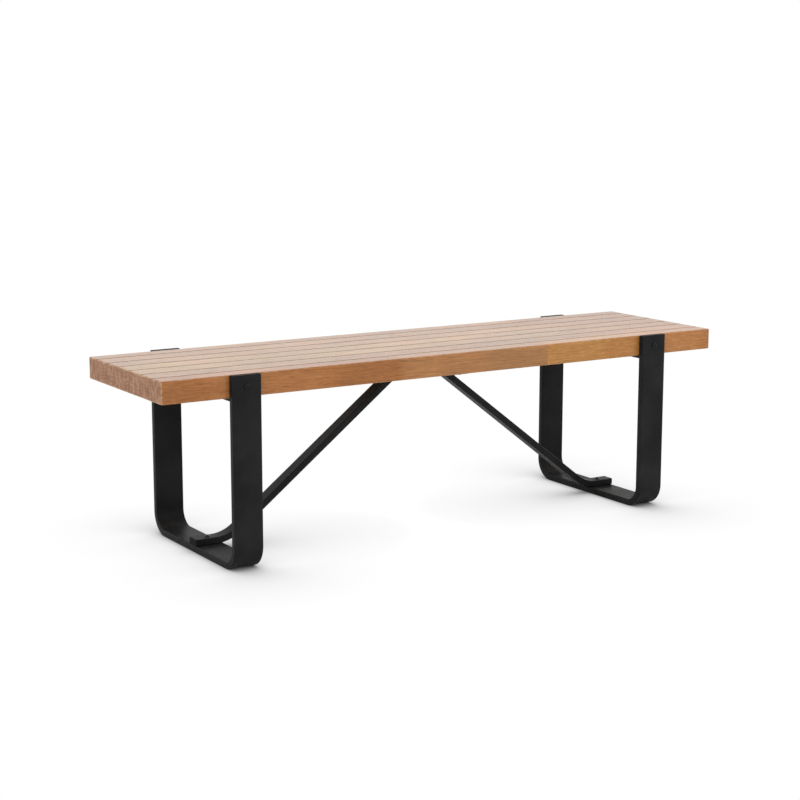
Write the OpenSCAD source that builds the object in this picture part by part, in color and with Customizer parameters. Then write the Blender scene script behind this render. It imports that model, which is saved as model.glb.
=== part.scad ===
// Entryway bench: a slab seat of seven glued boards carried by two bent steel tube legs
// and two diagonal braces. Length along X, front at -Y, floor at Z = 0.
// The origin is the centre of the footprint on the floor. Millimetres.

/* [Seat] */

// Length of the seat
seat_len = 1522; // [1400:1:1800]
// Width of the seat, between the uprights
seat_w = 400; // [380:1:430]
// Thickness of the seat
seat_t = 51; // [45:1:60]
// Height of the seat's top above the floor
seat_h = 440; // [420:1:480]
// Width of each of the five inner boards
board_w = 61; // [58:0.5:64]
// Leg of the small chamfer on both sides of each joint between boards
groove = 1.8; // [0.5:0.1:3]
// Leg of the chamfer round the seat's outer edges
edge_cut = 1.6; // [0.5:0.1:4]
// Where the front board's two lengths meet end to end
front_joint_x = 251; // [150:1:350]

/* [Legs] */

// Distance from the middle of the bench to the middle of each leg
leg_x = 566.7; // [500:0.1:640]
// Width of the flat leg tube
tube_w = 71; // [60:1:80]
// Thickness of the flat leg tube
tube_t = 16; // [15:0.5:20]
// Radius of the tube's long edges
tube_r = 3; // [2:0.5:4]
// Wall of the leg tube
tube_wall = 2; // [1.5:0.1:2]
// Outer radius of each bend
bend_r = 54; // [50:1:70]
// How far the outer wall sinks in the middle of a bend
bend_dip = 3; // [1:0.5:3]
// Thickness of the flat bar under the seat between the uprights
crossbar_t = 6; // [5:0.5:8]

/* [Braces] */

// Width of the brace tube
brace_w = 35; // [30:1:40]
// Thickness of the brace tube
brace_t = 16; // [15:0.5:18]
// Radius of the brace tube's long edges
brace_r = 2.5; // [1.5:0.5:3.5]
// Wall of the brace tube
brace_wall = 1.6; // [1.2:0.1:2]
// Slope of the braces above the horizontal, in degrees
brace_a = 37.4915; // [37.4915, 37.5174, 37.5353]
// Where the underside of the slope would meet the bottom bar's top, from the middle
brace_foot_x = 514; // [510:1:520]
// Outer radius of the bend at the foot
foot_bend_r = 105; // [80:1:115]
// Outer radius of the bend at the top
top_bend_r = 60; // [40:1:65]
// Thickness of the centre plate
plate_t = 5; // [4:0.5:6]

/* [Fasteners] */

// Head diameter of the bolt in each upright
leg_head_d = 16.5; // [14:0.5:18]
// Head diameter of the bolts in the braces
brace_head_d = 14; // [12:0.5:15]
// Bolt shank diameter
bolt_d = 8; // [6:0.5:8]

/* [Hidden] */

$fn = 64;
eps = 0.01;
fit = 0.1;

wood = [0.66, 0.46, 0.31];
wood_light = [0.74, 0.54, 0.36];
black = [0.13, 0.13, 0.13];
zinc = [0.6, 0.6, 0.58];

seat_z = seat_h - seat_t;
outer_w = (seat_w - 5 * board_w) / 2;
leg_y = seat_w / 2 + tube_t;
bolt_z = seat_z + seat_t / 2;
cap_t = 2;
slot_gap = tube_t - 2 * tube_wall;

// Board k runs from 0 at the front to 6 at the back
function board_lo(k) = k == 0 ? -seat_w / 2 : -seat_w / 2 + outer_w + (k - 1) * board_w;
function board_hi(k) = k == 6 ? seat_w / 2 : -seat_w / 2 + outer_w + k * board_w;
function board_y(k) = (board_lo(k) + board_hi(k)) / 2;
// Screws stand alternately to each side of the plate's middle, clear of the inserts
function screw_dx(k) = k % 2 == 0 ? 20 : -20;
// The centre plate stops short of the seat's edges, so its end screws stand further in
plate_len = seat_w - 50;
function plate_screw_y(k) = k == 0 || k == 6 ? sign(k - 3) * (plate_len / 2 - 11) : board_y(k);

screw_d = 5;
screw_head_d = 9.5;
screw_head_t = 2.8;
screw_len = 36;
insert_d = 12;
insert_len = 25;
leg_bolt_len = 46;
rivet_d = 11;
rivet_len = 10;
foot_bolt_len = 24;
top_insert_len = 22;
top_bolt_len = 42;

// Course of a brace: foot flat on the bottom bar, slope, then a landing under the centre plate
brace_top_z = seat_z - plate_t;
brace_end_x = leg_x + tube_w / 2;
brace_in_x = 1.5;
foot_mid_r = foot_bend_r - brace_t / 2;
top_mid_r = top_bend_r - brace_t / 2;
foot_flat_x = brace_foot_x + round(foot_bend_r * tan(brace_a / 2) * 10) / 10;
slope_rise = brace_top_z - top_bend_r - tube_t - foot_bend_r;
slope_len = (slope_rise + (foot_mid_r + top_mid_r) * cos(brace_a)) / sin(brace_a);
top_flat_x = foot_flat_x - (foot_mid_r + top_mid_r) * sin(brace_a) - slope_len * cos(brace_a);
foot_bolt_x = leg_x;
top_bolt_x = (top_flat_x + brace_in_x) / 2;

// ---- profiles ----

module rounded_rect(a, b, r) {
    square([a - 2 * r, b], center = true);
    square([a, b - 2 * r], center = true);
    for (sx = [-1, 1], sy = [-1, 1]) {
        translate([sx * (a / 2 - r), sy * (b / 2 - r)]) circle(r);
    }
}

// Outline of a U in the Y-Z plane, open at the top, with its two lower corners rounded
module u_outline(half, low, high, r) {
    translate([-half, low + r]) square([2 * half, high - low - r]);
    translate([-half + r, low]) square([2 * (half - r), r + 1]);
    for (s = [-1, 1]) {
        translate([s * (half - r), low + r]) circle(r);
    }
}

// Cross-section of one board, its foot at y = 0: chamfered along both upper edges
module board_profile(w, cut_lo, cut_hi) {
    polygon([
        [0, 0], [w, 0], [w, seat_t - cut_hi], [w - cut_hi, seat_t], [cut_lo, seat_t],
        [0, seat_t - cut_lo]
    ]);
}

// ---- seat ----

// Board k between two stations along X; free ends are chamfered on top
module board(k, x0, x1, cut0, cut1) {
    lo = board_lo(k);
    w = board_hi(k) - lo;
    c_lo = k == 0 ? edge_cut : groove;
    c_hi = k == 6 ? edge_cut : groove;
    difference() {
        intersection() {
            translate([x0, lo, seat_z])
                rotate([90, 0, 90])
                    linear_extrude(x1 - x0) board_profile(w, c_lo, c_hi);
            translate([0, lo + w + 1, seat_z])
                rotate([90, 0, 0])
                    linear_extrude(w + 2)
                        polygon([
                            [x0, 0], [x1, 0], [x1, seat_t - cut1], [x1 - cut1, seat_t],
                            [x0 + cut0, seat_t], [x0, seat_t - cut0]
                        ]);
        }
        for (s = [-1, 1]) {
            if (s * leg_x > x0 && s * leg_x < x1) {
                translate([s * leg_x + screw_dx(k), board_y(k), 0]) pilot_hole();
                if (k == 0 || k == 6) leg_insert_hole(s, k == 0 ? -1 : 1);
            }
        }
        if (k != 3 && x0 < 0 && x1 > 0) {
            translate([screw_dx(k), plate_screw_y(k), 0]) pilot_hole();
        }
        if (k == 3) {
            for (s = [-1, 1]) {
                translate([s * top_bolt_x, 0, seat_z - 1])
                    cylinder(d = insert_d + 2 * fit, h = top_insert_len + 1 + fit);
            }
        }
    }
}

module pilot_hole() {
    translate([0, 0, seat_z - 1]) cylinder(d = screw_d + 2 * fit, h = screw_len - crossbar_t + 3);
}

module leg_insert_hole(sx, sy) {
    translate([sx * leg_x, sy * (seat_w / 2 + 1), bolt_z])
        rotate([sy * 90, 0, 0])
            cylinder(d = insert_d + 2 * fit, h = 1 + insert_len + fit);
    translate([sx * leg_x, sy * (seat_w / 2 + 1), bolt_z])
        rotate([sy * 90, 0, 0])
            cylinder(d = bolt_d + 2 * fit, h = 1 + leg_bolt_len - tube_t + 2);
}

module front_board_left() {
    color(wood) board(0, -seat_len / 2, front_joint_x, edge_cut, 0);
}

module front_board_right() {
    color(wood_light) board(0, front_joint_x, seat_len / 2, 0, edge_cut);
}

module full_board(k) {
    color(wood) board(k, -seat_len / 2, seat_len / 2, edge_cut, edge_cut);
}

// ---- legs ----

// Turns a drawing in the Y-Z plane so that its thickness runs along X
module along_x() {
    rotate([90, 0, 90]) children();
}

module bend(sy) {
    c = leg_y - bend_r;
    translate([0, sy * c, bend_r])
        along_x()
            rotate([0, 0, sy < 0 ? 180 : 270])
                rotate_extrude(angle = 90)
                    translate([bend_r - tube_t / 2, 0]) rounded_rect(tube_t, tube_w, tube_r);
}

// Shallow trough that the outer wall sinks into round a bend
module bend_trough(sy) {
    r_dip = bend_r + bend_dip / (sqrt(2) - 1);
    r_lens = (pow(tube_w / 2 - 3, 2) + pow(bend_dip, 2)) / (2 * bend_dip);
    c = leg_y - r_dip + 0.05;
    translate([0, sy * c, r_dip - 0.05])
        along_x()
            rotate([0, 0, sy < 0 ? 180 : 270])
                rotate_extrude(angle = 90)
                    intersection() {
                        translate([r_dip + r_lens, 0]) circle(r_lens, $fn = 128);
                        translate([r_dip - 1, -tube_w / 2]) square([20, tube_w]);
                    }
}

// Space inside the leg tube; it narrows at the bends, under the sunken wall
module leg_void() {
    r_out = bend_r - tube_wall + (bend_dip + 0.3) / (sqrt(2) - 1);
    r_in = bend_r - tube_t + tube_wall;
    translate([-tube_w / 2 + tube_wall, 0, 0])
        along_x()
            linear_extrude(tube_w - 2 * tube_wall)
                difference() {
                    u_outline(leg_y - tube_wall, tube_wall, seat_h + 1, r_out);
                    u_outline(leg_y - tube_t + tube_wall, tube_t - tube_wall, seat_h + 2, r_in);
                }
}

module leg(sx) {
    top = seat_h - cap_t;
    translate([sx * leg_x, 0, 0])
        difference() {
            union() {
                for (s = [-1, 1]) {
                    translate([0, s * (leg_y - tube_t / 2), bend_r])
                        linear_extrude(top - bend_r) rounded_rect(tube_w, tube_t, tube_r);
                    bend(s);
                }
                translate([0, leg_y - bend_r, tube_t / 2])
                    rotate([90, 0, 0])
                        linear_extrude(2 * (leg_y - bend_r)) rounded_rect(tube_w, tube_t, tube_r);
            }
            leg_void();
            for (s = [-1, 1]) {
                bend_trough(s);
                translate([0, s * (leg_y + 1), bolt_z])
                    rotate([s * 90, 0, 0]) cylinder(d = bolt_d + 0.6, h = tube_t + 2);
            }
            translate([0, 0, tube_t / 2]) cylinder(d = rivet_d + 2 * fit, h = tube_t / 2 + 1);
        }
}

module left_leg() {
    color(black) leg(-1);
}

module right_leg() {
    color(black) leg(1);
}

// Plastic cap that closes the top of an upright, flush with the seat
module end_cap(sx, sy) {
    color(black)
        translate([sx * leg_x, sy * (leg_y - tube_t / 2), 0]) {
            translate([0, 0, seat_h - cap_t])
                linear_extrude(cap_t) rounded_rect(tube_w, tube_t, tube_r);
            translate([0, 0, seat_h - cap_t - 9])
                linear_extrude(9 + eps)
                    square([tube_w - 2 * tube_wall - 2 * fit, slot_gap - 2 * fit], center = true);
        }
}

module crossbar(sx) {
    color(black)
        difference() {
            translate([sx * leg_x - tube_w / 2, -seat_w / 2, seat_z - crossbar_t])
                cube([tube_w, seat_w, crossbar_t]);
            for (k = [0 : 6]) {
                translate([sx * leg_x + screw_dx(k), board_y(k), seat_z - crossbar_t - 1])
                    cylinder(d = screw_d + 0.6, h = crossbar_t + 2);
            }
        }
}

// ---- centre plate and braces ----

module centre_plate() {
    color(black)
        difference() {
            translate([-tube_w / 2, -plate_len / 2, brace_top_z]) cube([tube_w, plate_len, plate_t]);
            for (k = [0 : 6]) {
                if (k != 3) {
                    translate([screw_dx(k), plate_screw_y(k), brace_top_z - 1])
                        cylinder(d = screw_d + 0.6, h = plate_t + 2);
                }
            }
            for (s = [-1, 1]) {
                translate([s * top_bolt_x, 0, brace_top_z - 1])
                    cylinder(d = bolt_d + 0.6, h = plate_t + 2);
            }
        }
}

// A section carried along the brace: foot, bend, slope, bend, landing. Each stretch is
// drawn in the frame where the one before it ends.
module brace_pass(w, t, r, past) {
    translate([foot_flat_x, 0, tube_t + foot_bend_r]) {
        translate([0, 0, -foot_mid_r])
            rotate([0, 90, 0])
                linear_extrude(brace_end_x - cap_t - foot_flat_x + past) rounded_rect(t, w, r);
        rotate([0, brace_a, 0]) {
            rotate([90, 0, 0])
                rotate_extrude(angle = brace_a, start = 270)
                    translate([foot_mid_r, 0]) rounded_rect(t, w, r);
            translate([0, 0, -foot_mid_r])
                rotate([0, -90, 0]) linear_extrude(slope_len) rounded_rect(t, w, r);
            translate([-slope_len, 0, -foot_mid_r - top_mid_r]) {
                rotate([90, 0, 0])
                    rotate_extrude(angle = brace_a, start = 90)
                        translate([top_mid_r, 0]) rounded_rect(t, w, r);
                rotate([0, -brace_a, 0])
                    translate([0, 0, top_mid_r])
                        rotate([0, -90, 0])
                            linear_extrude(top_flat_x - brace_in_x + past) rounded_rect(t, w, r);
            }
        }
    }
}

module brace() {
    difference() {
        brace_pass(brace_w, brace_t, brace_r, 0);
        brace_pass(brace_w - 2 * brace_wall, brace_t - 2 * brace_wall, 1, 1);
        translate([foot_bolt_x, 0, tube_t - 1]) cylinder(d = bolt_d + 0.6, h = brace_t + 2);
        translate([top_bolt_x, 0, brace_top_z - brace_t - 1])
            cylinder(d = bolt_d + 0.6, h = brace_t + 2);
    }
}

module brace_cap() {
    translate([brace_end_x - cap_t, 0, tube_t + brace_t / 2])
        rotate([0, 90, 0])
            linear_extrude(cap_t) rounded_rect(brace_t, brace_w, brace_r);
    translate([brace_end_x - cap_t - 9, 0, tube_t + brace_t / 2])
        rotate([0, 90, 0])
            linear_extrude(9 + eps)
                square(
                    [brace_t - 2 * brace_wall - 2 * fit, brace_w - 2 * brace_wall - 2 * fit],
                    center = true
                );
}

module right_brace() {
    color(black) brace();
}

module left_brace() {
    color(black) mirror([1, 0, 0]) brace();
}

module right_brace_cap() {
    color(black) brace_cap();
}

module left_brace_cap() {
    color(black) mirror([1, 0, 0]) brace_cap();
}

// ---- fasteners ----

// Low domed bolt with a hexagonal socket; head up, seat of the head at z = 0
module domed_bolt(head_d, head_t, len, socket) {
    dome_r = (pow(head_d / 2, 2) + pow(head_t, 2)) / (2 * head_t) + 1;
    difference() {
        intersection() {
            cylinder(d = head_d, h = head_t);
            translate([0, 0, head_t - dome_r]) sphere(dome_r);
        }
        translate([0, 0, head_t * 0.35]) cylinder(d = socket / cos(30), h = head_t, $fn = 6);
    }
    translate([0, 0, -len]) cylinder(d = bolt_d, h = len + eps);
}

// Sleeve with an internal bore for a bolt; mouth at z = 0, body below
module sleeve(d, len) {
    translate([0, 0, -len])
        difference() {
            cylinder(d = d, h = len);
            translate([0, 0, -1]) cylinder(d = bolt_d + 2 * fit, h = len + 2);
        }
}

// Pan-head wood screw driven upwards; seat of the head at z = 0, shank above
module wood_screw() {
    difference() {
        translate([0, 0, -screw_head_t]) cylinder(d1 = screw_head_d - 2, d2 = screw_head_d, h = screw_head_t);
        for (a = [0, 90]) {
            rotate([0, 0, a])
                translate([-2.4, -0.6, -screw_head_t - 1]) cube([4.8, 1.2, 2.4]);
        }
    }
    translate([0, 0, -eps]) cylinder(d = screw_d, h = screw_len - 6 + eps);
    translate([0, 0, screw_len - 6]) cylinder(d1 = screw_d, d2 = 0.6, h = 6);
}

module leg_bolts(sx) {
    color(black)
        for (s = [-1, 1]) {
            translate([sx * leg_x, s * leg_y, bolt_z])
                rotate([-s * 90, 0, 0]) domed_bolt(leg_head_d, 4, leg_bolt_len, 5);
        }
}

module leg_inserts(sx) {
    color(zinc)
        for (s = [-1, 1]) {
            translate([sx * leg_x, s * seat_w / 2, bolt_z])
                rotate([-s * 90, 0, 0]) sleeve(insert_d, insert_len);
        }
}

module foot_bolt(sx) {
    color(black)
        translate([sx * foot_bolt_x, 0, tube_t + brace_t])
            domed_bolt(brace_head_d, 4.4, foot_bolt_len, 5);
}

module rivet_nut(sx) {
    color(zinc)
        translate([sx * foot_bolt_x, 0, tube_t]) sleeve(rivet_d, rivet_len);
}

module brace_top_bolts() {
    color(black)
        for (s = [-1, 1]) {
            translate([s * top_bolt_x, 0, brace_top_z - brace_t])
                rotate([180, 0, 0]) domed_bolt(brace_head_d, 4.4, top_bolt_len - 4, 5);
        }
}

module brace_top_inserts() {
    color(zinc)
        for (s = [-1, 1]) {
            translate([s * top_bolt_x, 0, seat_z]) rotate([180, 0, 0]) sleeve(insert_d, top_insert_len);
        }
}

module crossbar_screws(sx) {
    color(zinc)
        for (k = [0 : 6]) {
            translate([sx * leg_x + screw_dx(k), board_y(k), seat_z - crossbar_t]) wood_screw();
        }
}

module centre_plate_screws() {
    color(zinc)
        for (k = [0 : 6]) {
            if (k != 3) translate([screw_dx(k), plate_screw_y(k), brace_top_z]) wood_screw();
        }
}

front_board_left();
front_board_right();
full_board(1);  // board_2
full_board(2);  // board_3
full_board(3);  // board_4
full_board(4);  // board_5
full_board(5);  // board_6
full_board(6);  // back_board
left_leg();
right_leg();
end_cap(-1, -1);  // left_front_cap
end_cap(-1, 1);  // left_back_cap
end_cap(1, -1);  // right_front_cap
end_cap(1, 1);  // right_back_cap
crossbar(-1);  // left_crossbar
crossbar(1);  // right_crossbar
centre_plate();
left_brace();
right_brace();
left_brace_cap();
right_brace_cap();
leg_bolts(-1);  // left_leg_bolts
leg_bolts(1);  // right_leg_bolts
leg_inserts(-1);  // left_leg_inserts
leg_inserts(1);  // right_leg_inserts
foot_bolt(-1);  // left_foot_bolt
foot_bolt(1);  // right_foot_bolt
rivet_nut(-1);  // left_rivet_nut
rivet_nut(1);  // right_rivet_nut
brace_top_bolts();
brace_top_inserts();
crossbar_screws(-1);  // left_crossbar_screws
crossbar_screws(1);  // right_crossbar_screws
centre_plate_screws();
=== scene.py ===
"""Finishes for the entryway bench: a stained timber seat on two bent tube legs and two diagonal braces.

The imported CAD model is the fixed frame. The seat's boards are rebuilt here with eased edges, every
other part keeps its CAD shape, and each part gets a procedural finish. Lengths are metres, X runs
along the bench, the front faces -Y and the floor is Z = 0.
"""

import logging  # noqa: E402
import math  # noqa: E402
from dataclasses import dataclass, field  # noqa: E402
from enum import Enum  # noqa: E402
from typing import Iterable, Sequence  # noqa: E402

import bpy  # noqa: E402
import numpy as np  # noqa: E402
from mathutils import Matrix, Vector  # noqa: E402

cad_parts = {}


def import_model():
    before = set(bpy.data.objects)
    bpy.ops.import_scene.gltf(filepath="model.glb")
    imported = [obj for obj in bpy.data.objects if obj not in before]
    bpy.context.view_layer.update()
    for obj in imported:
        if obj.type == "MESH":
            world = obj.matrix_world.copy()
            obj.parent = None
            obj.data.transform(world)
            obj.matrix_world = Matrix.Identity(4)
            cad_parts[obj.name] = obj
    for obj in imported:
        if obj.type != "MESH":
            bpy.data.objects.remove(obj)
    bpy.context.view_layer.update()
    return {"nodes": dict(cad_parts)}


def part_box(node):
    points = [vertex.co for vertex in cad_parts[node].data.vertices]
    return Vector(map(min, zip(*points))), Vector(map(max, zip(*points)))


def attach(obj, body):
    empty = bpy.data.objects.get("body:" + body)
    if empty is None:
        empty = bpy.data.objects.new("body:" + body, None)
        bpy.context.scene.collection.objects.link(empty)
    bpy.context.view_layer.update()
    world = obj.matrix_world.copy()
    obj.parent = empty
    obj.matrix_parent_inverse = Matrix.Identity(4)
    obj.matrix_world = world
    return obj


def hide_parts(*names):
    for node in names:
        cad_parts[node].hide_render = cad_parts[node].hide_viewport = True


Colour = tuple[float, float, float]
Socket = bpy.types.NodeSocket
Value = Socket | float | tuple[float, ...]

log = logging.getLogger("bench")
ROOT_BODY = "root"
WHITE = (1.0, 1.0, 1.0, 1.0)


class Slot(Enum):
    """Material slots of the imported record."""

    SEAT = "seat_wood"
    SEAT_LIGHT = "seat_wood_light"
    COAT = "black_coat"
    CAP = "cap_plastic"
    BOLT = "black_bolt"
    ZINC = "zinc"


class Ends(Enum):
    """How the two ends of a board are finished."""

    FREE = "free"
    BUTTED_AT_START = "butted_at_start"
    BUTTED_AT_END = "butted_at_end"


# ---------------------------------------------------------------------------------------------
# Shader graphs
# ---------------------------------------------------------------------------------------------


@dataclass
class Graph:
    """A node tree with short calls for the nodes that the finishes use.

    Args:
        tree: The shader tree that the nodes go into.
    """

    tree: bpy.types.NodeTree

    def add(self, kind: str, **settings: object) -> bpy.types.Node:
        """Adds a node.

        Args:
            kind: Blender's type name of the node.
            **settings: Attributes to set on it.

        Returns:
            The new node.
        """
        node = self.tree.nodes.new(kind)
        for name, value in settings.items():
            setattr(node, name, value)
        return node

    def feed(self, socket: Socket, value: Value) -> None:
        """Links value into socket, or sets it there when it is a plain number or tuple."""
        if isinstance(value, bpy.types.NodeSocket):
            self.tree.links.new(value, socket)
        else:
            socket.default_value = value

    def math(self, operation: str, *values: Value, clamp: bool = False) -> Socket:
        """Adds a Math node.

        Args:
            operation: Blender's name of the operation.
            *values: Its inputs in order.
            clamp: Whether the result is kept from 0 to 1.

        Returns:
            The result socket.
        """
        node = self.add("ShaderNodeMath", operation=operation, use_clamp=clamp)
        for socket, value in zip(node.inputs, values):
            self.feed(socket, value)
        return node.outputs[0]

    def vector(self, operation: str, *values: Value) -> Socket:
        """Adds a Vector Math node.

        Args:
            operation: Blender's name of the operation.
            *values: Its inputs in order.

        Returns:
            The vector, or the number for LENGTH and DOT_PRODUCT.
        """
        node = self.add("ShaderNodeVectorMath", operation=operation)
        for socket, value in zip(node.inputs, values):
            self.feed(socket, value)
        return node.outputs["Value" if operation in ("LENGTH", "DOT_PRODUCT") else "Vector"]

    def noise(
        self, place: Socket, stretch: Sequence[float], detail: float = 3.0, roughness: float = 0.5
    ) -> Socket:
        """Adds a noise whose cells are one unit long after the stretch.

        Args:
            place: Coordinates in metres.
            stretch: Cells per metre along X, Y and Z.
            detail: Octaves.
            roughness: Weight of the finer octaves.

        Returns:
            The noise's factor, from 0 to 1.
        """
        node = self.add("ShaderNodeTexNoise")
        self.feed(node.inputs["Vector"], self.vector("MULTIPLY", place, tuple(stretch)))
        self.feed(node.inputs["Scale"], 1.0)
        self.feed(node.inputs["Detail"], detail)
        self.feed(node.inputs["Roughness"], roughness)
        return node.outputs["Fac"]

    def step(
        self, value: Value, low: float, high: float, to_low: float = 0.0, to_high: float = 1.0
    ) -> Socket:
        """Adds a smooth step.

        Args:
            value: What is stepped.
            low: Where the step starts.
            high: Where the step ends.
            to_low: The result below the step.
            to_high: The result above the step.

        Returns:
            The stepped value.
        """
        node = self.add("ShaderNodeMapRange", interpolation_type="SMOOTHSTEP")
        names = ("Value", "From Min", "From Max", "To Min", "To Max")
        for name, given in zip(names, (value, low, high, to_low, to_high)):
            self.feed(node.inputs[name], given)
        return node.outputs["Result"]

    def mix(self, amount: Value, first: Value, second: Value, blend: str = "MIX") -> Socket:
        """Mixes two colours.

        Args:
            amount: How much of the second shows.
            first: Colour socket or linear red, green and blue.
            second: Colour socket or linear red, green and blue.
            blend: Blender's name of the blend.

        Returns:
            The mixed colour.
        """
        node = self.add("ShaderNodeMix", data_type="RGBA", blend_type=blend)
        self.feed(node.inputs[0], amount)
        for socket, value in ((node.inputs[6], first), (node.inputs[7], second)):
            self.feed(socket, (*value, 1.0) if isinstance(value, tuple) else value)
        return node.outputs[2]

    def split(self, place: Socket) -> tuple[Socket, Socket, Socket]:
        """Returns the X, Y and Z of a vector."""
        node = self.add("ShaderNodeSeparateXYZ")
        self.feed(node.inputs[0], place)
        return node.outputs[0], node.outputs[1], node.outputs[2]

    def join(self, x: Value, y: Value, z: Value) -> Socket:
        """Returns a vector of three values."""
        node = self.add("ShaderNodeCombineXYZ")
        for socket, value in zip(node.inputs, (x, y, z)):
            self.feed(socket, value)
        return node.outputs[0]

    def scaled(self, value: Value, scale: float, offset: float) -> Socket:
        """Returns value times scale plus offset."""
        return self.math("ADD", self.math("MULTIPLY", value, scale), offset)

    def swing(self, factor: Socket, size: float) -> Socket:
        """Returns a factor from 0 to 1 as a length of that size, centred on zero."""
        return self.math("MULTIPLY", self.math("SUBTRACT", factor, 0.5), size)

    def attribute(self, name: str) -> Socket:
        """Returns the value of a mesh attribute."""
        return self.add("ShaderNodeAttribute", attribute_name=name).outputs["Fac"]

    def place(self) -> Socket:
        """Returns the Object coordinates, which are metres in the bench's frame."""
        return self.add("ShaderNodeTexCoord").outputs["Object"]

    def normal(self) -> Socket:
        """Returns the surface normal."""
        return self.add("ShaderNodeNewGeometry").outputs["Normal"]

    def use(self, group: bpy.types.NodeTree, **inputs: Value) -> bpy.types.Node:
        """Places a node group.

        Args:
            group: The group's tree.
            **inputs: Values for its inputs, with spaces in names written as underscores.

        Returns:
            The group node.
        """
        node = self.add("ShaderNodeGroup", node_tree=group)
        for name, value in inputs.items():
            self.feed(node.inputs[name.replace("_", " ")], value)
        return node


PLACE = ("Place", "Vector")
NORMAL = ("Normal", "Vector")
SEED = ("Seed", "Float")
AMOUNT = ("Amount", "Float")


def new_group(
    name: str, inputs: Sequence[tuple[str, str]], outputs: Sequence[str]
) -> tuple[Graph, bpy.types.Node, bpy.types.Node]:
    """Starts a shader node group.

    Args:
        name: Its name.
        inputs: Name and kind, Float or Vector, of each input.
        outputs: Name of each output, all of them numbers.

    Returns:
        Its graph, its input node and its output node.
    """
    tree = bpy.data.node_groups.new(name, "ShaderNodeTree")
    for label, kind in inputs:
        tree.interface.new_socket(name=label, in_out="INPUT", socket_type="NodeSocket" + kind)
    for label in outputs:
        tree.interface.new_socket(name=label, in_out="OUTPUT", socket_type="NodeSocketFloat")
    graph = Graph(tree)
    return graph, graph.add("NodeGroupInput"), graph.add("NodeGroupOutput")


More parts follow.
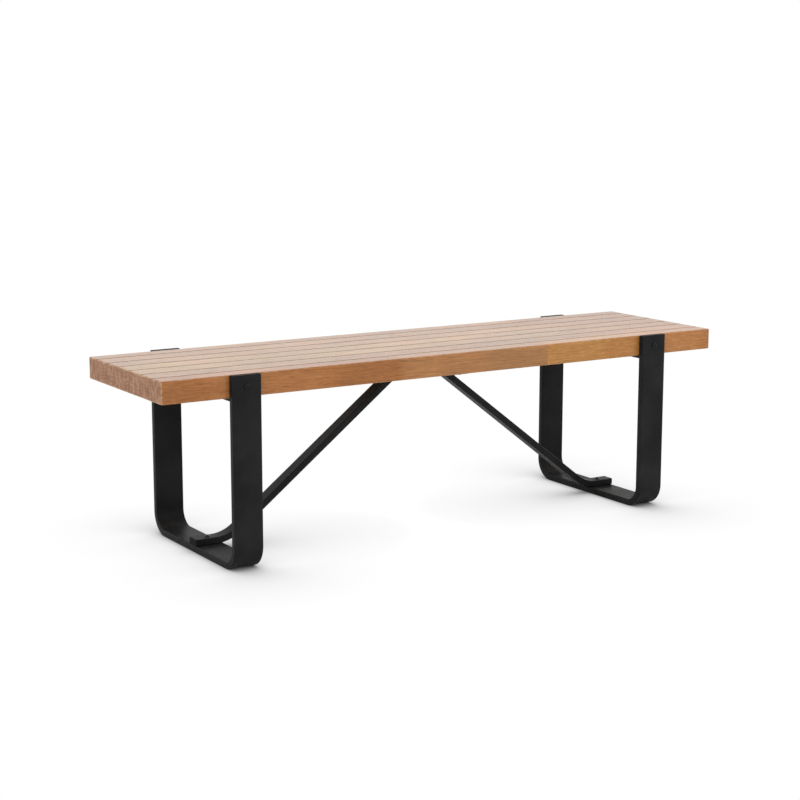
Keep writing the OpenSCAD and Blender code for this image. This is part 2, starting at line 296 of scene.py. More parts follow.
class Effects:
    """The shared shader groups, each built once."""

    def __init__(self) -> None:
        """Builds the five groups."""
        self.grain = self._grain()
        self.end_grain = self._end_grain()
        self.wear_and_highlight = self._wear_and_highlight()
        self.dust = self._dust()
        self.texture = self._texture()

    @staticmethod
    def _grain() -> bpy.types.NodeTree:
        """Timber grain along X.

        Growth is the sine of the distance from the pith line over the ring width, and the distance
        is bent by a slow noise and rippled by a finer one. Fibre is a noise stretched along X,
        pores are short sparse dashes, fleck is a mottling about 15 mm long, and figure is a slow
        cloud.

        Returns:
            The group.
        """
        bend_size, ripple_size, late_wood = 0.052, 0.004, 1.7
        inputs = (PLACE, SEED, ("Pith Y", "Float"), ("Pith Z", "Float"), ("Ring Width", "Float"))
        outputs = ("Growth", "Fibre", "Pores", "Figure", "Fleck")
        g, given, made = new_group("timber_grain", inputs, outputs)
        place, seed, pith_y, pith_z, width = (given.outputs[i] for i in range(len(inputs)))
        shift = g.join(*(g.math("MULTIPLY", seed, step) for step in (3.71, 1.13, 2.37)))
        moved = g.vector("ADD", place, shift)
        _, y, z = g.split(place)
        bend = g.swing(g.noise(moved, (1.7, 7.0, 7.0), detail=2.0), bend_size)
        ripple = g.swing(g.noise(moved, (9.0, 60.0, 60.0)), ripple_size)
        away = g.join(0.0, g.math("SUBTRACT", y, pith_y), g.math("SUBTRACT", z, pith_z))
        radius = g.math("ADD", g.math("ADD", g.vector("LENGTH", away), bend), ripple)
        turns = g.math("MULTIPLY", g.math("DIVIDE", radius, width), 2.0 * math.pi)
        wave = g.scaled(g.math("SINE", turns), 0.5, 0.5)
        fibre = g.noise(moved, (15.0, 330.0, 330.0), detail=5.0, roughness=0.62)
        dashes = g.noise(moved, (34.0, 820.0, 820.0), detail=1.0)
        figure = g.noise(moved, (3.2, 13.0, 13.0), roughness=0.55)
        mottling = g.noise(moved, (62.0, 230.0, 230.0), roughness=0.6)
        g.feed(made.inputs["Growth"], g.math("POWER", wave, late_wood))
        g.feed(made.inputs["Fibre"], fibre)
        g.feed(made.inputs["Pores"], g.step(dashes, 0.36, 0.29))
        g.feed(made.inputs["Figure"], figure)
        g.feed(made.inputs["Fleck"], g.step(mottling, 0.47, 0.66))
        return g.tree

    @staticmethod
    def _end_grain() -> bpy.types.NodeTree:
        """Sawn end grain on faces across X.

        Mask is one where the normal lies along X. Fleck is a noise stretched along Z, as the pale
        upright marks of a saw, and speck is a fine even noise, as open pores.

        Returns:
            The group.
        """
        g, given, made = new_group("end_grain", (PLACE, NORMAL, SEED), ("Mask", "Fleck", "Speck"))
        place, normal, seed = (given.outputs[i] for i in range(3))
        x, _, _ = g.split(normal)
        shift = g.join(0.0, g.math("MULTIPLY", seed, 1.9), g.math("MULTIPLY", seed, 0.7))
        moved = g.vector("ADD", place, shift)
        fleck = g.noise(moved, (60.0, 110.0, 48.0), detail=5.0, roughness=0.68)
        speck = g.noise(moved, (300.0, 620.0, 520.0), detail=2.0, roughness=0.7)
        g.feed(made.inputs["Mask"], g.step(g.math("ABSOLUTE", x), 0.55, 0.9))
        g.feed(made.inputs["Fleck"], fleck)
        g.feed(made.inputs["Speck"], speck)
        return g.tree

    @staticmethod
    def _wear_and_highlight() -> bpy.types.NodeTree:
        """Scuffed edges that also serve as a painted highlight: the edge attribute, broken up by a noise of
        about 12 mm.

        Returns:
            The group.
        """
        g, given, made = new_group("edge_wear", (PLACE, ("Edge", "Float"), AMOUNT), ("Mask",))
        place, edge, amount = (given.outputs[i] for i in range(3))
        chips = g.step(g.noise(place, (85.0, 120.0, 120.0), detail=4.0, roughness=0.65), 0.42, 0.62)
        worn_and_highlit = g.math("MULTIPLY", g.math("MULTIPLY", edge, chips), amount, clamp=True)
        g.feed(made.inputs["Mask"], worn_and_highlit)
        return g.tree

    @staticmethod
    def _dust() -> bpy.types.NodeTree:
        """Dust and soft scuffs that settle on faces looking up, in clouds of about 60 mm.

        Returns:
            The group.
        """
        g, given, made = new_group("settled_dust", (PLACE, NORMAL, AMOUNT), ("Mask",))
        place, normal, amount = (given.outputs[i] for i in range(3))
        _, _, up = g.split(normal)
        cloud = g.step(g.noise(place, (16.0, 16.0, 16.0), detail=4.0, roughness=0.6), 0.3, 0.75)
        lying = g.math("MULTIPLY", g.step(up, 0.2, 0.95), cloud)
        g.feed(made.inputs["Mask"], g.math("MULTIPLY", lying, amount, clamp=True))
        return g.tree

    @staticmethod
    def _texture() -> bpy.types.NodeTree:
        """The skin of powder coat, plastic or plating: a fine peel over slow unevenness.

        Returns:
            The group.
        """
        g, given, made = new_group("coat_skin", (PLACE, ("Grain", "Float")), ("Peel", "Drift"))
        place, grain = given.outputs[0], given.outputs[1]
        node = g.add("ShaderNodeTexNoise")
        g.feed(node.inputs["Vector"], place)
        g.feed(node.inputs["Scale"], grain)
        g.feed(node.inputs["Detail"], 2.0)
        g.feed(made.inputs["Peel"], node.outputs["Fac"])
        g.feed(made.inputs["Drift"], g.noise(place, (9.0, 9.0, 9.0)))
        return g.tree


# ---------------------------------------------------------------------------------------------
# Finishes
# ---------------------------------------------------------------------------------------------


def new_material(name: str) -> tuple[bpy.types.Material, Graph, bpy.types.Node]:
    """Starts a material.

    Args:
        name: Its name.

    Returns:
        The material, its graph and its Principled shader.
    """
    material = bpy.data.materials.new(name)
    material.use_nodes = True
    graph = Graph(material.node_tree)
    shader = material.node_tree.nodes["Principled BSDF"]
    return material, graph, shader


def add_bump(
    graph: Graph, shader: bpy.types.Node, height: Socket, strength: float, distance: float
) -> None:
    """Feeds a height into the shader's normal.

    Args:
        graph: The material's graph.
        shader: Its Principled shader.
        height: The height, from 0 to 1.
        strength: How strongly it shows.
        distance: Depth of the full height in metres.
    """
    bump = graph.add("ShaderNodeBump")
    graph.feed(bump.inputs["Strength"], strength)
    graph.feed(bump.inputs["Distance"], distance)
    graph.feed(bump.inputs["Height"], height)
    graph.feed(shader.inputs["Normal"], bump.outputs["Normal"])


@dataclass(frozen=True)
class Timber:
    """Stained and lacquered hardwood of one board.

    Args:
        seed: Moves the grain so that no two boards match.
        pith: Y and Z of the growth rings' centre.
        light: Early wood's colour.
        dark: Late wood's colour.
        ring_width: Distance between rings.
        ring_show: How strongly the rings show.
        gloss: Mean roughness of the lacquer.
        patches: X beyond which the tone changes, and what it is multiplied by. Most are the stain's own tone;
            the redder one over the top's right part is painted reflection, standing in for the weaker sheen
            there.
        patch_blend: Half the length over which one tone passes into the next.
        cloud: Range and lowest value of the slow clouds' tone.
        streak: Range and lowest value of the fibres' tone.
        warm: Colour of the ruddy clouds.
        warm_show: How strongly they show.
        fleck: Colour of the pale flecks over the early wood's colour.
        fleck_show: How strongly they show.
        pore: Colour in the pores.
        pore_show: How strongly they show.
        saw_dark: Colour of the sawn ends.
        saw_pale: Colour of the saw's marks there.
        saw_show: How strongly the marks show.
        end_pore: Colour of the open pores there.
        end_pore_show: How strongly they show.
        end_ring: Colour of the rings there.
        end_ring_show: How strongly they show.
        bare_and_highlit: Colour of scuffed edges, which is also a painted highlight along them.
        wear_and_highlight: How much of the edges is scuffed and lightened as a painted highlight.
        shade: Colour of the painted shade in the joints between boards.
        shade_show: How strongly it shows.
        grain_rough: How much fibres and pores add to the roughness.
        saw_rough: How much a sawn end adds.
        specular: Specular level of the lacquer.
        relief: Height of the fibres, and depth of the pores and of the rings, over the full depth.
        depth: Full depth of the relief in metres.
    """

    seed: float
    pith: tuple[float, float]
    light: Colour = (0.305, 0.15, 0.06)
    dark: Colour = (0.205, 0.091, 0.031)
    ring_width: float = 0.0085
    ring_show: float = 0.42
    gloss: float = 0.27
    patches: tuple[tuple[float, Colour], ...] = ()
    patch_blend: float = 0.02
    cloud: tuple[float, float] = (0.8, 0.565)
    streak: tuple[float, float] = (0.95, 0.535)
    warm: Colour = (0.42, 0.195, 0.078)
    warm_show: float = 0.35
    fleck: Colour = (1.5, 1.55, 1.7)
    fleck_show: float = 0.26
    pore: Colour = (0.06, 0.02, 0.008)
    pore_show: float = 0.55
    saw_dark: Colour = (0.235, 0.096, 0.041)
    saw_pale: Colour = (0.56, 0.33, 0.185)
    saw_show: float = 0.62
    end_pore: Colour = (0.09, 0.036, 0.016)
    end_pore_show: float = 0.55
    end_ring: Colour = (0.11, 0.045, 0.02)
    end_ring_show: float = 0.3
    bare_and_highlit: Colour = (0.54, 0.34, 0.195)
    wear_and_highlight: float = 0.62
    shade: Colour = (0.018, 0.008, 0.004)
    shade_show: float = 0.9
    grain_rough: float = 0.12
    saw_rough: float = 0.28
    specular: float = 0.285
    relief: tuple[float, float, float] = (0.5, 0.6, 0.15)
    depth: float = 0.0003

    def material(self, name: str, effects: Effects) -> bpy.types.Material:
        """Builds the board's material.

        Args:
            name: Its name.
            effects: The shared groups.

        Returns:
            The material.
        """
        material, g, shader = new_material(name)
        place = g.place()
        grain = g.use(
            effects.grain,
            Place=place,
            Seed=self.seed,
            Pith_Y=self.pith[0],
            Pith_Z=self.pith[1],
            Ring_Width=self.ring_width,
        )
        ends = g.use(effects.end_grain, Place=place, Normal=g.normal(), Seed=self.seed)
        sawn = ends.outputs["Mask"]
        whole = g.mix(sawn, self._long_grain(g, place, grain), self._sawn_end(g, grain, ends))
        # Scuffed edges, lightened in colour, which also stand in for a painted highlight along the edges.
        rubbed_and_highlit = g.use(effects.wear_and_highlight, Place=place, Edge=g.attribute("edge"), Amount=self.wear_and_highlight)
        worn_and_highlit = g.mix(rubbed_and_highlit.outputs["Mask"], whole, self.bare_and_highlit)
        # Painted shade: the joints between boards are darkened towards near black.
        final = g.mix(g.math("MULTIPLY", g.attribute("joint_shade"), self.shade_show), worn_and_highlit, self.shade)
        g.feed(shader.inputs["Base Color"], final)
        fibre, pores, growth = (grain.outputs[k] for k in ("Fibre", "Pores", "Growth"))
        rough = g.scaled(fibre, self.grain_rough, self.gloss - 0.5 * self.grain_rough)
        rougher = g.math("ADD", rough, g.math("MULTIPLY", pores, self.grain_rough))
        sawn_rough = g.math("ADD", rougher, g.math("MULTIPLY", sawn, self.saw_rough))
        g.feed(shader.inputs["Roughness"], sawn_rough)
        shader.inputs["Specular IOR Level"].default_value = self.specular
        up, pore_down, ring_down = (
            g.math("MULTIPLY", value, share) for value, share in zip((fibre, pores, growth), self.relief)
        )
        height = g.math("SUBTRACT", g.math("SUBTRACT", up, pore_down), ring_down)
        add_bump(g, shader, height, strength=0.3, distance=self.depth)
        return material

    def _long_grain(self, g: Graph, place: Socket, grain: bpy.types.Node) -> Socket:
        """Colours the faces that run along the grain.

        Args:
            g: The material's graph.
            place: Coordinates in metres.
            grain: The grain group's node.

        Returns:
            The colour.
        """
        growth, fibre, pores, figure, flecks = (
            grain.outputs[k] for k in ("Growth", "Fibre", "Pores", "Figure", "Fleck")
        )
        base = g.mix(g.math("MULTIPLY", growth, self.ring_show), self.light, self.dark)
        along, _, _ = g.split(place)
        for start, tint in self.patches:
            beyond = g.step(along, start - self.patch_blend, start + self.patch_blend)
            base = g.mix(beyond, base, g.mix(1.0, base, tint, "MULTIPLY"))
        tone = g.math("MULTIPLY", g.scaled(figure, *self.cloud), g.scaled(fibre, *self.streak))
        body = g.mix(1.0, base, g.join(tone, tone, tone), "MULTIPLY")
        warm = g.mix(g.step(figure, 0.5, 0.72, to_high=self.warm_show), body, self.warm)
        pale = tuple(gain * part for gain, part in zip(self.fleck, self.light))
        flecked = g.mix(g.math("MULTIPLY", flecks, self.fleck_show), warm, pale)
        return g.mix(g.math("MULTIPLY", pores, self.pore_show), flecked, self.pore)

    def _sawn_end(self, g: Graph, grain: bpy.types.Node, ends: bpy.types.Node) -> Socket:
        """Colours the sawn ends.

        Args:
            g: The material's graph.
            grain: The grain group's node.
            ends: The end grain group's node.

        Returns:
            The colour.
        """
        marks = g.step(ends.outputs["Fleck"], 0.36, 0.7, to_high=self.saw_show)
        sawn = g.mix(marks, self.saw_dark, self.saw_pale)
        pits = g.step(ends.outputs["Speck"], 0.55, 0.35, to_high=self.end_pore_show)
        pitted = g.mix(pits, sawn, self.end_pore)
        return g.mix(g.math("MULTIPLY", grain.outputs["Growth"], self.end_ring_show), pitted, self.end_ring)


@dataclass(frozen=True)
class Coat:
    """Paint, powder coat or moulded plastic in near black.

    Args:
        colour: Its mean colour.
        roughness: Its roughness.
        specular: Its specular level.
        grain: Peel cells per metre.
        depth: Depth of the peel in metres.
        dust: How much dust settles on it.
        rim_shade_axis: Axis of a round head whose side wall gets painted shade, if any.
        rim_shade: Colour of that painted shade on the side wall.
        drift: Darkest and lightest of the slow clouds, over the mean colour.
        drift_rough: How far the clouds spread the roughness.
        painted_glint: Colour of the painted glint on the peel's peaks, over the mean colour.
        painted_glint_show: How strongly the painted glint shows.
        dust_colour: Colour of the dust.
        dust_rough: How much full dust adds to the roughness.
    """

    colour: Colour = (0.0126, 0.0126, 0.0128)
    roughness: float = 0.45
    specular: float = 0.06
    grain: float = 620.0
    depth: float = 0.00012
    dust: float = 0.16
    rim_shade_axis: tuple[float, float, float] | None = None
    rim_shade: Colour = (0.0008, 0.0008, 0.0008)
    drift: tuple[float, float] = (0.72, 1.35)
    drift_rough: float = 0.14
    painted_glint: float = 2.2
    painted_glint_show: float = 0.3
    dust_colour: Colour = (0.09, 0.087, 0.084)
    dust_rough: float = 0.5

    def material(self, name: str, effects: Effects) -> bpy.types.Material:
        """Builds the coat's material.

        Args:
            name: Its name.
            effects: The shared groups.

        Returns:
            The material.
        """
        material, g, shader = new_material(name)
        place, normal = g.place(), g.normal()
        skin = g.use(effects.texture, Place=place, Grain=self.grain)
        settled = g.use(effects.dust, Place=place, Normal=normal, Amount=self.dust).outputs["Mask"]
        drift, peel = skin.outputs["Drift"], skin.outputs["Peel"]
        darker, lighter, glint_colour = (tuple(k * c for c in self.colour) for k in (*self.drift, self.painted_glint))
        tone = g.mix(g.step(drift, 0.3, 0.7), darker, lighter)
        # Painted glint: the peel's peaks are coloured lighter than the mean.
        glinting = g.mix(g.step(peel, 0.55, 0.75, to_high=self.painted_glint_show), tone, glint_colour)
        shown = g.mix(settled, glinting, self.dust_colour)
        # Painted shade: where the normal lies across the head's axis, the side wall is coloured near black.
        if self.rim_shade_axis is not None:
            facing = g.math("ABSOLUTE", g.vector("DOT_PRODUCT", normal, self.rim_shade_axis))
            shown = g.mix(g.step(facing, 0.97, 0.8), shown, self.rim_shade)
        g.feed(shader.inputs["Base Color"], shown)
        rough = g.scaled(drift, self.drift_rough, self.roughness - 0.5 * self.drift_rough)
        dusty_rough = g.math("ADD", rough, g.math("MULTIPLY", settled, self.dust_rough))
        g.feed(shader.inputs["Roughness"], dusty_rough)
        shader.inputs["Specular IOR Level"].default_value = self.specular
        add_bump(g, shader, peel, strength=0.35, distance=self.depth)
        return material


@dataclass(frozen=True)
class Plating:
    """Zinc plating on steel, with the slow clouds that passivation leaves.

    Args:
        bright: Its lighter colour.
        dull: Its darker colour.
        roughness: Its roughness.
        grain: Peel cells per metre.
        grain_rough: How far the peel spreads the roughness.
        depth: Depth of the peel in metres.
    """

    bright: Colour = (0.66, 0.65, 0.60)
    dull: Colour = (0.42, 0.41, 0.37)
    roughness: float = 0.34
    grain: float = 900.0
    grain_rough: float = 0.2
    depth: float = 0.00005

    def material(self, name: str, effects: Effects) -> bpy.types.Material:
        """Builds the plating's material.

        Args:
            name: Its name.
            effects: The shared groups.

        Returns:
            The material.
        """
        material, g, shader = new_material(name)
        skin = g.use(effects.texture, Place=g.place(), Grain=self.grain)
        peel = skin.outputs["Peel"]
        clouded = g.mix(g.step(skin.outputs["Drift"], 0.3, 0.7), self.dull, self.bright)
        rough = g.scaled(peel, self.grain_rough, self.roughness - 0.5 * self.grain_rough)
        g.feed(shader.inputs["Base Color"], clouded)
        g.feed(shader.inputs["Roughness"], rough)
        shader.inputs["Metallic"].default_value = 1.0
        add_bump(g, shader, peel, strength=0.2, distance=self.depth)
        return material


@dataclass
class Paintshop:
    """Makes each finish once and puts it on pieces.

    Args:
        effects: The shared groups.
        made: Materials by name.
    """

    effects: Effects
    made: dict[str, bpy.types.Material] = field(default_factory=dict)

    def finish(self, name: str, kind: Timber | Coat | Plating) -> bpy.types.Material:
        """Returns the material of that name, building it on first use."""
        if name not in self.made:
            self.made[name] = kind.material(name, self.effects)
        return self.made[name]

    def dress(self, piece: bpy.types.Object, material: bpy.types.Material) -> None:
        """Gives a piece one material.

        Args:
            piece: A CAD node or a new piece.
            material: Its finish.
        """
        slots = piece.data.materials
        if not slots:
            slots.append(material)
        for index in range(len(slots)):
            slots[index] = material
        log.info("%s is finished in %s", piece.name, material.name)


# ---------------------------------------------------------------------------------------------
# Meshes
# ---------------------------------------------------------------------------------------------


def mesh_piece(
    name: str, points: np.ndarray, faces: Iterable[Sequence[int]], marks: dict[str, np.ndarray]
) -> bpy.types.Object:
    """Makes a smooth mesh object at the origin.

    Args:
        name: Its name.
        points: Vertices in the bench's frame, one row each.
        faces: Vertex indices of each face, counterclockwise from outside.
        marks: Attribute values by name, one for each vertex.

    Returns:
        The object, linked to the scene.
    """
    mesh = bpy.data.meshes.new(name)
    mesh.from_pydata(points.tolist(), [], [list(f) for f in faces])
    mesh.polygons.foreach_set("use_smooth", np.ones(len(mesh.polygons), bool))
    for label, values in marks.items():
        layer = mesh.attributes.new(label, "FLOAT", "POINT")
        layer.data.foreach_set("value", values.astype(np.float32))
    mesh.update()
    piece = bpy.data.objects.new(name, mesh)
    bpy.context.scene.collection.objects.link(piece)
    return piece


def tube_faces(rings: int, around: int) -> np.ndarray:
    """Quads between neighbouring rings of a closed section: ring i, place j joins ring i+1, place j+1.

    Args:
        rings: Number of rings.
        around: Points in each ring.

    Returns:
        One row of four indices for each quad.
    """
    i, j = np.meshgrid(np.arange(rings - 1), np.arange(around), indexing="ij")
    k = (j + 1) % around
    quads = np.stack([i * around + j, i * around + k, (i + 1) * around + k, (i + 1) * around + j], -1)
    return quads.reshape(-1, 4)


@dataclass
class Board:
    """One board of the seat, as a rounded box.

    Args:
        node: The CAD node that it stands for.
        finish: Its timber.
        slot: Its slot in the record. Not used.
        ends: Which ends are butted against another board.
        front_glued: Whether its front face is glued to the next board.
        back_glued: Whether its back face is.
        glued_round: Radius of the edges along a glued face.
        outer_round: Radius of the edges along a free face.
        free_end_round: Radius round a free end.
        butted_end_round: Radius round an end that is butted against another board.
        arc_steps: Points in each quarter arc.
        support: Distance from an arc to the next ring or point, which keeps the flats flat.
        across: Points along each flat side of the section.
        along: Rings along the straight length.
        closing: Size of the rings that close an end, from the pole outwards.
        long_edge_wear_and_highlight: How much the long edges are scuffed and lightened as a painted
            highlight, against one for the ends' edges.
        joint_shade_reach: Power of the painted shade in the joints. A lower one spreads it over the whole
            rounding.
    """

    node: str
    finish: Timber
    slot: Slot
    ends: Ends = Ends.FREE
    front_glued: bool = True
    back_glued: bool = True

    glued_round: float = 0.0028
    outer_round: float = 0.003
    free_end_round: float = 0.0022
    butted_end_round: float = 0.0007
    arc_steps: int = 6
    support: float = 0.0035
    across: int = 7
    along: int = 40
    closing: tuple[float, ...] = (0.25, 0.6, 0.9)
    long_edge_wear_and_highlight: float = 0.55
    joint_shade_reach: float = 0.4

    @property
    def front_round(self) -> float:
        """Radius of the two front edges."""
        return self.glued_round if self.front_glued else self.outer_round

    @property
    def back_round(self) -> float:
        """Radius of the two back edges."""
        return self.glued_round if self.back_glued else self.outer_round

    def _section(
        self, low: np.ndarray, high: np.ndarray
    ) -> tuple[np.ndarray, np.ndarray, np.ndarray]:
        """The section in Y and Z, as the centres, reach and directions of its points.

        A point of the section inset by d is centre + (radius - d) * direction, where direction is
        the cosine and sine of the arc's angle. Points between two arcs lie on the flat side, and
        blend the two arcs' centres evenly.

        Args:
            low: Lowest Y and Z.
            high: Highest Y and Z.

        Returns:
            The centres, the radii times the directions, and the directions, each as rows of Y and Z
            going round.
        """
        arcs = (
            (high[0] - self.back_round, high[1] - self.back_round, self.back_round, 0.0),
            (low[0] + self.front_round, high[1] - self.front_round, self.front_round, 0.5 * math.pi),
            (low[0] + self.front_round, low[1] + self.front_round, self.front_round, math.pi),
            (high[0] - self.back_round, low[1] + self.back_round, self.back_round, 1.5 * math.pi),
        )
        centres, reach, heading = [], [], []
        for n, (y, z, r, start) in enumerate(arcs):
            angle = start + np.linspace(0.0, 0.5 * math.pi, self.arc_steps)
            turn = np.stack([np.cos(angle), np.sin(angle)], 1)
            centres.append(np.repeat([[y, z]], self.arc_steps, 0))
            reach.append(r * turn)
            heading.append(turn)
            next_y, next_z, next_r, _ = arcs[(n + 1) % len(arcs)]
            side = np.array([next_y - y, next_z - z])
            edge = self.support / np.linalg.norm(side)
            t = np.linspace(edge, 1.0 - edge, self.across)[:, None]
            out = np.repeat(turn[-1:], self.across, 0)
            centres.append(np.array([y, z]) + t * side)
            reach.append(((1.0 - t) * r + t * next_r) * out)
            heading.append(out)
        return np.concatenate(centres), np.concatenate(reach), np.concatenate(heading)

    def _stations(self, low: float, high: float) -> tuple[np.ndarray, np.ndarray]:
        """Places along X and how far the section is inset there.

        At a rounded end of radius r, the place is r (1 - cos t) from the end and the inset is
        r (1 - sin t), with t from 0 to a right angle.

        Args:
            low: Lowest X.
            high: Highest X.

        Returns:
            X of each ring and its inset.
        """
        first = self.butted_end_round if self.ends is Ends.BUTTED_AT_START else self.free_end_round
        last = self.butted_end_round if self.ends is Ends.BUTTED_AT_END else self.free_end_round
        t = np.linspace(0.0, 0.5 * math.pi, self.arc_steps)
        head, tail = low + first * (1.0 - np.cos(t)), high - last * (1.0 - np.cos(t[::-1]))
        middle = np.linspace(head[-1] + self.support, tail[0] - self.support, self.along)
        start, finish = first * (1.0 - np.sin(t)), last * (1.0 - np.sin(t[::-1]))
        inset = np.concatenate([start, np.zeros(self.along), finish])
        return np.concatenate([head, middle, tail]), inset

    def build(self) -> bpy.types.Object:
        """Builds the board inside its CAD node's box.

        Each ring is the section inset by the end's rounding, except across a glued face, and both
        ends close in rings that shrink to a centre point.

        Returns:
            The board.
        """
        low, high = (np.array(corner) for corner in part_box(self.node))
        centres, reach, heading = self._section(low[1:], high[1:])
        x, inset = self._stations(low[0], high[0])
        inward = heading.copy()
        if self.front_glued:
            inward[heading[:, 0] < 0.0, 0] = 0.0
        if self.back_glued:
            inward[heading[:, 0] > 0.0, 0] = 0.0
        rings = centres[None] + reach[None] - inset[:, None, None] * inward[None]
        middle = 0.5 * (low[1:] + high[1:])
        closing = np.array(self.closing)
        start = middle + closing[:, None, None] * (rings[:1] - middle)
        finish = middle + closing[::-1, None, None] * (rings[-1:] - middle)
        section = np.concatenate([start, rings, finish])
        where = np.pad(x, len(closing), mode="edge")
        count, around = section.shape[:2]
        along = np.broadcast_to(where[:, None, None], (count, around, 1))
        points = np.concatenate([along, section], -1).reshape(-1, 3)
        poles = np.array([[low[0], *middle], [high[0], *middle]])
        quads = tube_faces(count, around)
        j = np.arange(around)
        first_fan = np.stack([np.full(around, len(points)), j, (j + 1) % around], 1)[:, ::-1]
        base = (count - 1) * around
        last_fan = np.stack([np.full(around, len(points) + 1), base + j, base + (j + 1) % around], 1)
        faces = [*quads.tolist(), *first_fan.tolist(), *last_fan.tolist()]
        marks = self._marks(heading, inset)
        piece = mesh_piece(self.node + "_timber", np.concatenate([points, poles]), faces, marks)
        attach(piece, ROOT_BODY)
        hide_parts(self.node)
        return piece

    def _marks(self, heading: np.ndarray, inset: np.ndarray) -> dict[str, np.ndarray]:
        """Values of the edge attribute, for scuffed edges and painted highlight, and of the attribute that
        carries the painted shade in the joints.

        Args:
            heading: Direction of each point of the section.
            inset: Inset of each ring between the ends' closing rings.

        Returns:
            The values by name, poles last.
        """
        closed = len(self.closing)
        corner = np.minimum(np.abs(heading[:, 0]), np.abs(heading[:, 1])) * math.sqrt(2.0)
        ring = np.pad(np.where(inset > 0.0, 1.0, 0.0), closed)
        joint = np.zeros(len(heading))
        if self.front_glued:
            joint = np.maximum(joint, np.clip(-heading[:, 0], 0.0, 1.0))
        if self.back_glued:
            joint = np.maximum(joint, np.clip(heading[:, 0], 0.0, 1.0))
        # The edge mark is partly scuffing and partly a painted highlight along the edges.
        long_edge = np.repeat(corner[None] * self.long_edge_wear_and_highlight, len(ring), 0)
        edge = np.maximum(long_edge, ring[:, None] * (1.0 - joint[None]))
        # Painted shade in the joints: strongest on a glued face, none on the rings of a rounded end.
        joint_shade = joint[None] ** self.joint_shade_reach * (1.0 - ring[:, None])
        for values in (edge, joint_shade):
            values[:closed], values[-closed:] = 0.0, 0.0
        poles = np.zeros(2)
        return {
            "edge": np.concatenate([(edge * (1.0 - joint_shade)).ravel(), poles]),
            "joint_shade": np.concatenate([joint_shade.ravel(), poles]),
        }


@dataclass
class Seat:
    """The slab of seven boards, the front one in two lengths.

    Args:
        shop: Where its finishes come from.
    """

    shop: Paintshop

    def boards(self) -> list[Board]:
        """Returns the eight boards from front to back, each with its own timber.

        The pith of an inner board lies far below or above the seat, so that the rings run nearly flat.
        """
        below, above = -0.12, 0.75
        front_rings = 0.0036
        pinker, pinkish, lighter = (1.2, 1.42, 1.9), (1.12, 1.2, 1.2), (1.08, 1.1, 1.1)
        # Painted reflection: the top is tinted redder and darker over its right part, where its sheen is
        # weaker.
        paler, browner, redder_for_weaker_sheen = (0.9, 0.84, 0.84), (0.89, 0.94, 0.97), (0.92, 0.78, 0.55)
        dusky, drab = (0.92, 0.85, 0.86), (0.87, 0.79, 0.72)
        yellow = (0.345, 0.19, 0.07), (0.235, 0.115, 0.036)
        front_left = Timber(
            1.3,
            (-0.32, 0.3),
            light=(0.30, 0.113, 0.029),
            dark=(0.205, 0.071, 0.017),
            ring_width=front_rings,
            ring_show=0.34,
            patches=((-0.16, pinker), (0.07, browner)),
        )
        front_right = Timber(
            4.1,
            (-0.34, 0.5),
            light=(0.39, 0.178, 0.045),
            dark=(0.295, 0.12, 0.028),
            ring_width=front_rings,
            ring_show=0.3,
            patches=((0.43, dusky), (0.57, drab)),
        )
        back = Timber(15.8, (0.3, 0.3), patches=((0.4, redder_for_weaker_sheen),))
        inner = {
            "board_2": Timber(2.2, (-0.12, below), patches=((-0.55, pinkish), (-0.3, paler), (0.35, redder_for_weaker_sheen))),
            "board_3": Timber(7.9, (-0.02, below), *yellow, patches=((-0.1, paler), (0.4, redder_for_weaker_sheen))),
            "board_4": Timber(5.4, (0.05, above), *yellow, patches=((0.12, paler), (0.45, redder_for_weaker_sheen))),
            "board_5": Timber(9.6, (0.09, below), patches=((-0.35, lighter), (0.3, redder_for_weaker_sheen))),
            "board_6": Timber(12.5, (0.2, above), patches=((0.3, redder_for_weaker_sheen),)),
        }
        return [
            Board("front_board_left", front_left, Slot.SEAT, Ends.BUTTED_AT_END, front_glued=False),
            Board("front_board_right", front_right, Slot.SEAT_LIGHT, Ends.BUTTED_AT_START, front_glued=False),
            *(Board(node, timber, Slot.SEAT) for node, timber in inner.items()),
            Board("back_board", back, Slot.SEAT, back_glued=False),
        ]

    def build(self) -> None:
        """Builds and finishes every board."""
        for board in self.boards():
            self.shop.dress(board.build(), self.shop.finish(board.node + "_wood", board.finish))


@dataclass
class Frame:
    """The bent tube legs, their caps and crossbars, the centre plate and the braces.

    Args:
        shop: Where its finishes come from.
        nodes: The CAD nodes by name.
        plastic: Finish of the plugs.
        coated: The powder-coated pieces.
        capped: The plastic plugs.
    """

    shop: Paintshop
    nodes: dict[str, bpy.types.Object]
    plastic: Coat = Coat(
        colour=(0.011, 0.011, 0.011), roughness=0.55, specular=0.03, grain=1500.0, depth=0.00006, dust=0.02
    )
    coated: tuple[str, ...] = (
        "left_leg",
        "right_leg",
        "left_crossbar",
        "right_crossbar",
        "centre_plate",
        "left_brace",
        "right_brace",
    )
    capped: tuple[str, ...] = (
        "left_front_cap",
        "left_back_cap",
        "right_front_cap",
        "right_back_cap",
        "left_brace_cap",
        "right_brace_cap",
    )

    def dress(self) -> None:
        """Gives the steel its powder coat and the plugs their plastic."""
        coat = self.shop.finish("powder_coat", Coat())
        plug = self.shop.finish("plug_plastic", self.plastic)
        for name in self.coated:
            self.shop.dress(self.nodes[name], coat)
        for name in self.capped:
            self.shop.dress(self.nodes[name], plug)


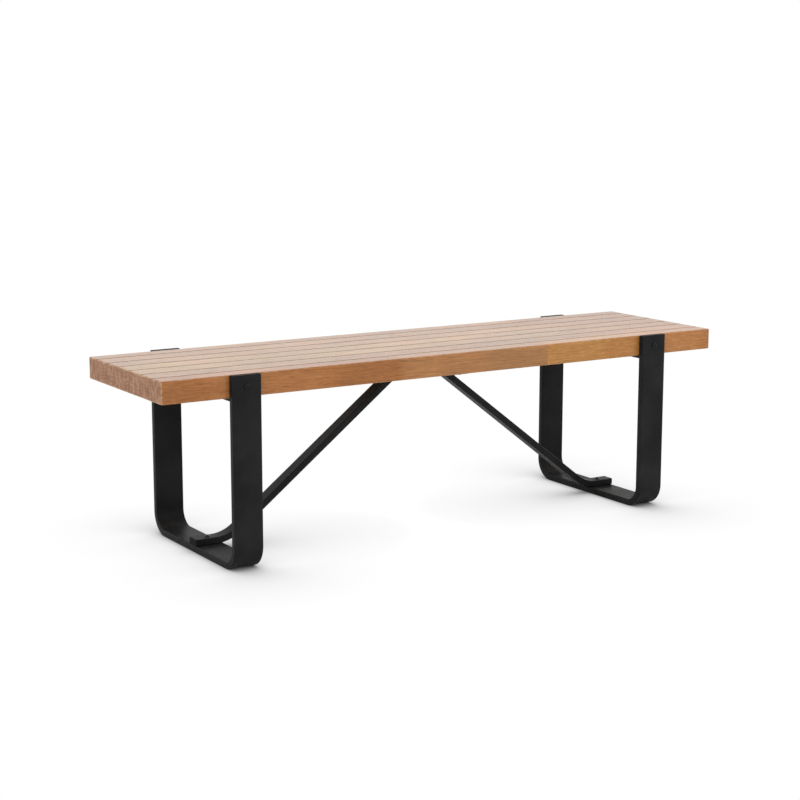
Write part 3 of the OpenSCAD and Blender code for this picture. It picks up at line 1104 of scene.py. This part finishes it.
@dataclass
class Fasteners:
    """Bolts, inserts, rivet nuts and screws.

    Args:
        shop: Where its finishes come from.
        nodes: The CAD nodes by name.
        side_black: Finish of the bolts that lie along Y, with painted shade on the side walls of their heads.
        upright_black: Glossier finish of the bolts that stand upright.
        leg_bolts: The bolts that lie along Y.
        upright_bolts: The bolts that stand upright.
        plated: The zinc-plated pieces.
    """

    shop: Paintshop
    nodes: dict[str, bpy.types.Object]
    side_black: Coat = Coat(
        colour=(0.0125, 0.0125, 0.0125),
        roughness=0.4,
        specular=0.14,
        grain=2200.0,
        depth=0.00003,
        dust=0.05,
        rim_shade_axis=(0.0, 1.0, 0.0),
    )
    upright_black: Coat = Coat(
        colour=(0.02, 0.02, 0.02), roughness=0.28, specular=0.4, grain=2200.0, depth=0.00003, dust=0.1
    )
    leg_bolts: tuple[str, ...] = ("left_leg_bolts", "right_leg_bolts")
    upright_bolts: tuple[str, ...] = ("left_foot_bolt", "right_foot_bolt", "brace_top_bolts")
    plated: tuple[str, ...] = (
        "left_leg_inserts",
        "right_leg_inserts",
        "left_rivet_nut",
        "right_rivet_nut",
        "brace_top_inserts",
        "left_crossbar_screws",
        "right_crossbar_screws",
        "centre_plate_screws",
    )

    def dress(self) -> None:
        """Blackens the bolts and plates the rest."""
        kinds = (
            (self.leg_bolts, "leg_bolt_black", self.side_black),
            (self.upright_bolts, "foot_bolt_black", self.upright_black),
            (self.plated, "zinc_plating", Plating()),
        )
        for names, label, kind in kinds:
            material = self.shop.finish(label, kind)
            for name in names:
                self.shop.dress(self.nodes[name], material)


# ---------------------------------------------------------------------------------------------
# Studio
# ---------------------------------------------------------------------------------------------


@dataclass
class Studio:
    """A pale floor, a white surround, one overhead softbox and the camera.

    Args:
        camera_place: Where the camera stands.
        camera_turn: Its turn about Z in degrees.
        camera_tilt: Its tilt up from straight down in degrees.
        camera_roll: Its roll in degrees.
        lens: Its focal length in millimetres.
        sensor: Width of its sensor in millimetres.
        clip: Nearest and farthest distance that it shows.
        floor_half: Half the floor's side.
        floor_tone: Grey of the floor as it lights the bench.
        contact_reach: How far from the feet the floor's shade begins.
        contact_depth: Power that deepens the shade.
        contact_samples: Rays for each sample of the shade.
        horizon: Strength of the surround's light at the horizon.
        zenith: Its strength overhead.
        sky_span: Sines of the elevations between which the one passes into the other.
        softbox_watts: Power of the softbox.
        softbox_side: Its side.
        softbox_height: Its height over the floor.
    """

    camera_place: tuple[float, float, float] = (-2.27644, -3.60459, 1.08077)
    camera_turn: float = -31.771
    camera_tilt: float = 79.579
    camera_roll: float = 0.043
    lens: float = 79.93
    sensor: float = 36.0
    clip: tuple[float, float] = (0.1, 100.0)
    floor_half: float = 30.0
    floor_tone: float = 0.85
    contact_reach: float = 0.3
    contact_depth: float = 1.3
    contact_samples: int = 32
    horizon: float = 1.36
    zenith: float = 1.28
    sky_span: tuple[float, float] = (0.1, 0.95)
    softbox_watts: float = 2.0
    softbox_side: float = 4.0
    softbox_height: float = 3.2

    def build(self) -> None:
        """Builds the floor, the light and the camera."""
        self._floor()
        self._surround()
        self._softbox()
        self._camera()

    def _floor(self) -> None:
        """Lays a flat square of pale floor at Z = 0.

        It lights the bench as pale paint does. The camera sees plain white in its place, darkened
        close to what stands on it by ambient occlusion, which takes the place of a cast shadow.
        """
        h = self.floor_half
        points = np.array([[-h, -h, 0.0], [h, -h, 0.0], [h, h, 0.0], [-h, h, 0.0]])
        floor = mesh_piece("studio_floor", points, [(0, 1, 2, 3)], {})
        material, g, shader = new_material("pale_floor")
        material.node_tree.nodes.remove(shader)
        paint = g.add("ShaderNodeBsdfDiffuse")
        g.feed(paint.inputs["Color"], (*(self.floor_tone,) * 3, 1.0))
        openness = g.add("ShaderNodeAmbientOcclusion", samples=self.contact_samples)
        g.feed(openness.inputs["Distance"], self.contact_reach)
        shown = g.add("ShaderNodeEmission")
        g.feed(shown.inputs["Color"], WHITE)
        g.feed(shown.inputs["Strength"], g.math("POWER", openness.outputs["AO"], self.contact_depth))
        both = g.add("ShaderNodeMixShader")
        g.feed(both.inputs[0], g.add("ShaderNodeLightPath").outputs["Is Camera Ray"])
        g.feed(both.inputs[1], paint.outputs[0])
        g.feed(both.inputs[2], shown.outputs[0])
        g.feed(material.node_tree.nodes["Material Output"].inputs["Surface"], both.outputs[0])
        floor.data.materials.append(material)

    def _surround(self) -> None:
        """Lights the scene from all round, while the camera sees plain white behind the bench."""
        world = bpy.data.worlds.new("studio_surround")
        world.use_nodes = True
        g = Graph(world.node_tree)
        _, _, up = g.split(g.add("ShaderNodeTexCoord").outputs["Generated"])
        horizon, zenith = ((level,) * 3 for level in (self.horizon, self.zenith))
        lit = g.mix(g.step(up, *self.sky_span), horizon, zenith)
        seen = g.add("ShaderNodeLightPath").outputs["Is Camera Ray"]
        g.feed(world.node_tree.nodes["Background"].inputs["Color"], g.mix(seen, lit, WHITE[:3]))
        bpy.context.scene.world = world

    def _softbox(self) -> None:
        """Hangs a square softbox over the bench."""
        light = bpy.data.lights.new("softbox", "AREA")
        light.size = self.softbox_side
        light.energy = self.softbox_watts
        lamp = bpy.data.objects.new("softbox", light)
        lamp.location = (0.0, 0.0, self.softbox_height)
        bpy.context.scene.collection.objects.link(lamp)

    def _camera(self) -> None:
        """Sets the camera up."""
        data = bpy.data.cameras.new("camera")
        data.lens, data.sensor_width, data.sensor_fit = self.lens, self.sensor, "HORIZONTAL"
        data.clip_start, data.clip_end = self.clip
        camera = bpy.data.objects.new("camera", data)
        turn = Matrix.Rotation(math.radians(self.camera_turn), 4, "Z")
        tilt = Matrix.Rotation(math.radians(self.camera_tilt), 4, "X")
        roll = Matrix.Rotation(math.radians(self.camera_roll), 4, "Z")
        camera.matrix_world = Matrix.Translation(self.camera_place) @ turn @ tilt @ roll
        bpy.context.scene.collection.objects.link(camera)
        bpy.context.scene.camera = camera
        bpy.context.scene.view_settings.view_transform = "Standard"


def main() -> None:
    """Builds the bench's looks."""
    logging.basicConfig(level=logging.INFO, format="%(name)s: %(message)s")
    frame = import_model()
    shop = Paintshop(Effects())
    Seat(shop).build()
    Frame(shop, frame["nodes"]).dress()
    Fasteners(shop, frame["nodes"]).dress()
    Studio().build()


if __name__ == "__main__":
    main()
